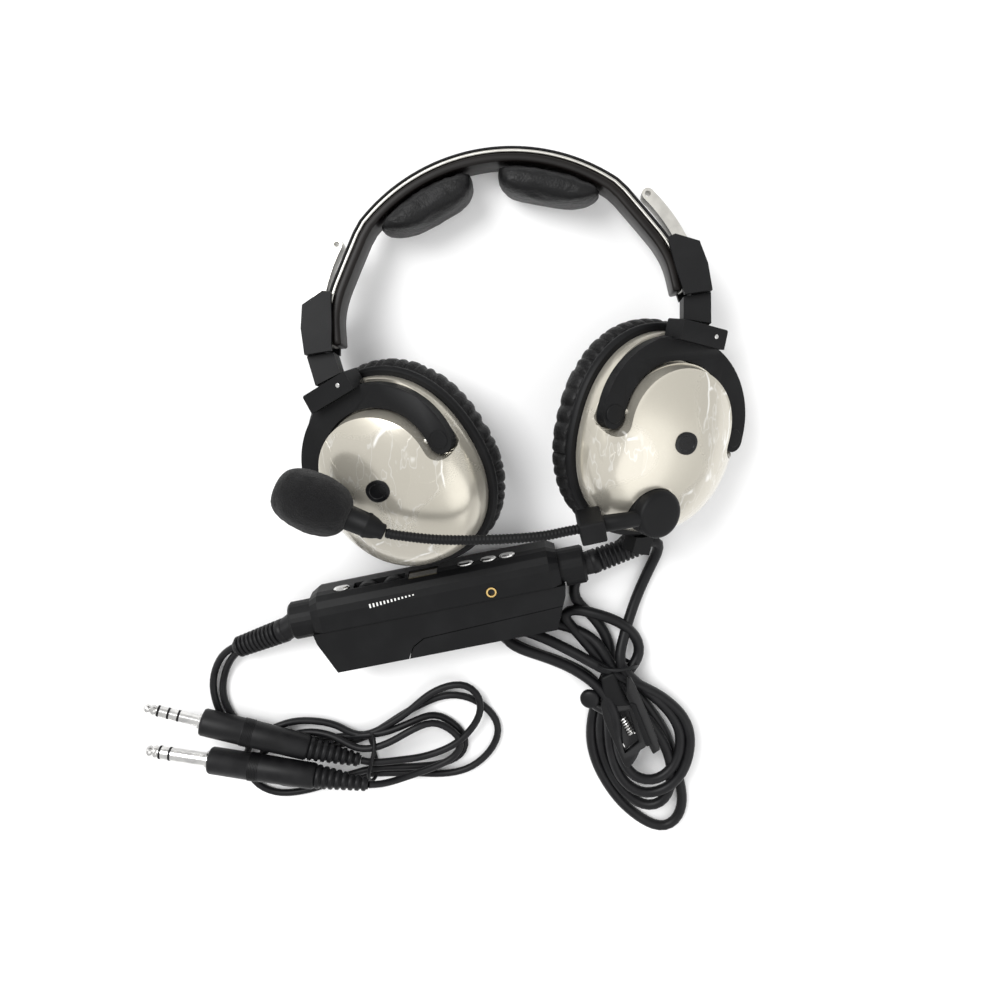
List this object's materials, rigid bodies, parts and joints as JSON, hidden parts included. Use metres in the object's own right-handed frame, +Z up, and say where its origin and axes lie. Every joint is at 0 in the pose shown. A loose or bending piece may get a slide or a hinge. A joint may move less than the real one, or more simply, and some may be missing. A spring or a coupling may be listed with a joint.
{
  "type": "aviation headset",
  "caption": "Noise-reducing pilot headset with a padded headband, swivelling oval ear cups, boom microphone, in-line control module and twin plugs, lying on its back.",
  "frame": {"origin": "on the table, at the middle of the footprint of the headset and its control module", "axes": "+Z up from the table; +Y towards the top of the headband; +X towards the wearer's left cup, which carries the microphone boom"},
  "size_m": [0.2724, 0.3232, 0.0724],
  "materials": {
    "black_plastic": "matte moulded black",
    "black_leather": "soft black leatherette, slightly wrinkled",
    "black_rubber": "matte black cord jacket and moulded reliefs",
    "satin_silver": "champagne-silver satin",
    "bright_metal": "bright plated",
    "black_foam": "open black foam",
    "gloss_black": "glossy black",
    "smoked_lens": "smoked window",
    "board_green": "green circuit board",
    "brass_plating": "gold-coloured plating",
    "cell_wrap": "printed steel can",
    "driver_frame": "dark grey moulded frame"
  },
  "bodies": {
    "headband": {"auxiliary_jack": "brass_plating", "battery_1": "cell_wrap", "battery_2": "cell_wrap", "circuit_board": "board_green", "clip_base": "gloss_black", "display_window": "smoked_lens", "head_pad_left": "black_leather", "head_pad_right": "black_leather", "headband_core": "black_plastic", "headband_cover": "black_plastic", "headband_spring": "satin_silver", "main_cord_coil": "black_rubber", "main_cord_cup_lead": "black_rubber", "main_cord_module_lead": "black_rubber", "module_lower_shell": "black_plastic", "module_relief_left": "black_rubber", "module_relief_right": "black_rubber", "module_upper_shell": "black_plastic", "plug_body_lower": "black_rubber", "plug_body_upper": "black_rubber", "plug_contact_lower": "bright_metal", "plug_contact_upper": "bright_metal", "slider_housing_left": "black_plastic", "slider_housing_right": "black_plastic", "twin_cord_hank": "black_rubber", "twin_cord_inner_lead": "black_rubber", "twin_cord_outer_lead": "black_rubber"},
    "slider_left": {"slider_left": "satin_silver"},
    "slider_right": {"slider_right": "satin_silver"},
    "arm_left": {"swivel_arm_left": "black_plastic"},
    "arm_right": {"swivel_arm_right": "black_plastic"},
    "yoke_left": {"yoke_left": "black_plastic"},
    "yoke_right": {"yoke_right": "black_plastic"},
    "cup_left": {"cup_shell_left": "satin_silver", "base_plate_left": "black_plastic", "driver_left": "driver_frame", "ear_seal_left": "black_leather", "pivot_pin_left_front": "bright_metal", "pivot_pin_left_rear": "bright_metal", "cord_gland": "black_plastic", "boom_hub_base": "black_plastic"},
    "cup_right": {"cup_shell_right": "satin_silver", "base_plate_right": "black_plastic", "driver_right": "driver_frame", "ear_seal_right": "black_leather", "pivot_pin_right_front": "bright_metal", "pivot_pin_right_rear": "bright_metal"},
    "boom": {"boom_arm": "black_plastic", "boom_clamp": "black_plastic", "gooseneck": "black_plastic"},
    "microphone": {"microphone_holder": "black_plastic", "windscreen": "black_foam"},
    "door": {"battery_door": "black_plastic"},
    "wheel_1": {"volume_wheel_1": "black_plastic"},
    "wheel_2": {"volume_wheel_2": "black_plastic"},
    "clip_jaw": {"clip_jaw": "gloss_black"},
    "power_button": {"power_button": "bright_metal"},
    "mode_button": {"mode_button": "bright_metal"},
    "volume_up": {"volume_up_button": "bright_metal"},
    "volume_down": {"volume_down_button": "bright_metal"}
  },
  "joints": [
    {"name": "slide_left", "type": "slide", "parent": "headband", "child": "arm_left", "axis": [0.1514, -0.9558, 0.2521], "range_m": [0, 0.024]},
    {"name": "slide_right", "type": "slide", "parent": "headband", "child": "arm_right", "axis": [0.1514, -0.9558, 0.2521], "range_m": [0, 0.0045]},
    {"name": "slider_left_bend", "type": "hinge", "parent": "headband", "child": "slider_left", "pos_m": [0.00329, 0.04251, 0.02934], "axis": [0.0394, -0.249, -0.9677], "range_deg": [0, 18.48]},
    {"name": "slider_right_bend", "type": "hinge", "parent": "headband", "child": "slider_right", "pos_m": [-0.00362, 0.04142, 0.02934], "axis": [-0.0394, 0.249, 0.9677], "range_deg": [0, 3.55]},
    {"name": "swivel_left", "type": "hinge", "parent": "arm_left", "child": "yoke_left", "pos_m": [0.07355, 0.04511, 0.03153], "axis": [0.1612, 0.9574, -0.2397], "range_deg": [0, 60]},
    {"name": "swivel_right", "type": "hinge", "parent": "arm_right", "child": "yoke_right", "pos_m": [-0.07125, 0.02218, 0.03153], "axis": [-0.4492, 0.8607, -0.2397], "range_deg": [-28, 4]},
    {"name": "tilt_left", "type": "hinge", "parent": "yoke_left", "child": "cup_left", "pos_m": [0.067, 0.00625, 0.04126], "axis": [0.8476, -0.2588, -0.4632], "range_deg": [-17, 1]},
    {"name": "tilt_right", "type": "hinge", "parent": "yoke_right", "child": "cup_right", "pos_m": [-0.05301, -0.01276, 0.04126], "axis": [0.7966, 0.5073, 0.3288], "range_deg": [-12, 0]},
    {"name": "boom_turn", "type": "hinge", "parent": "cup_left", "child": "boom", "pos_m": [0.05893, -0.02851, 0.05453], "axis": [0.4781, -0.006, 0.8783], "range_deg": [0, 60]},
    {"name": "microphone_turn", "type": "hinge", "parent": "boom", "child": "microphone", "pos_m": [-0.04953, -0.03539, 0.06047], "axis": [-0.9197, 0.39, -0.0461], "range_deg": [-90, 90]},
    {"name": "door_slide", "type": "slide", "parent": "headband", "child": "door", "axis": [0.9785, 0.2062, 0], "range_m": [0, 0.002]},
    {"name": "volume_wheel_1_turn", "type": "hinge", "parent": "headband", "child": "wheel_1", "pos_m": [-0.06207, -0.07745, 0.0174], "axis": [0, 0, 1], "range_deg": [-150, 150]},
    {"name": "volume_wheel_2_turn", "type": "hinge", "parent": "headband", "child": "wheel_2", "pos_m": [-0.05072, -0.07506, 0.0174], "axis": [0, 0, 1], "range_deg": [-150, 150]},
    {"name": "power_press", "type": "slide", "parent": "headband", "child": "power_button", "axis": [0.2062, -0.9785, 0], "range_m": [0, 0.0008], "stiffness_N_per_m": 1200, "springref_m": -0.0004},
    {"name": "mode_press", "type": "slide", "parent": "headband", "child": "mode_button", "axis": [0.2062, -0.9785, 0], "range_m": [0, 0.0008], "stiffness_N_per_m": 1200, "springref_m": -0.0004},
    {"name": "volume_up_press", "type": "slide", "parent": "headband", "child": "volume_up", "axis": [0.2062, -0.9785, 0], "range_m": [0, 0.0008], "stiffness_N_per_m": 1200, "springref_m": -0.0004},
    {"name": "volume_down_press", "type": "slide", "parent": "headband", "child": "volume_down", "axis": [0.2062, -0.9785, 0], "range_m": [0, 0.0008], "stiffness_N_per_m": 1200, "springref_m": -0.0004},
    {"name": "clip_open", "type": "hinge", "parent": "headband", "child": "clip_jaw", "pos_m": [0.05646, -0.13631, 0.0159], "axis": [0.8829, 0.4695, 0], "range_deg": [-12, 0], "stiffness_Nm_per_rad": 0.06, "springref_deg": 14.32}
  ],
  "couplings": [
    {"joint": "slider_left_bend", "follows": "slide_left", "rad_per_m": 13.369},
    {"joint": "slider_right_bend", "follows": "slide_right", "rad_per_m": 13.369}
  ]
}
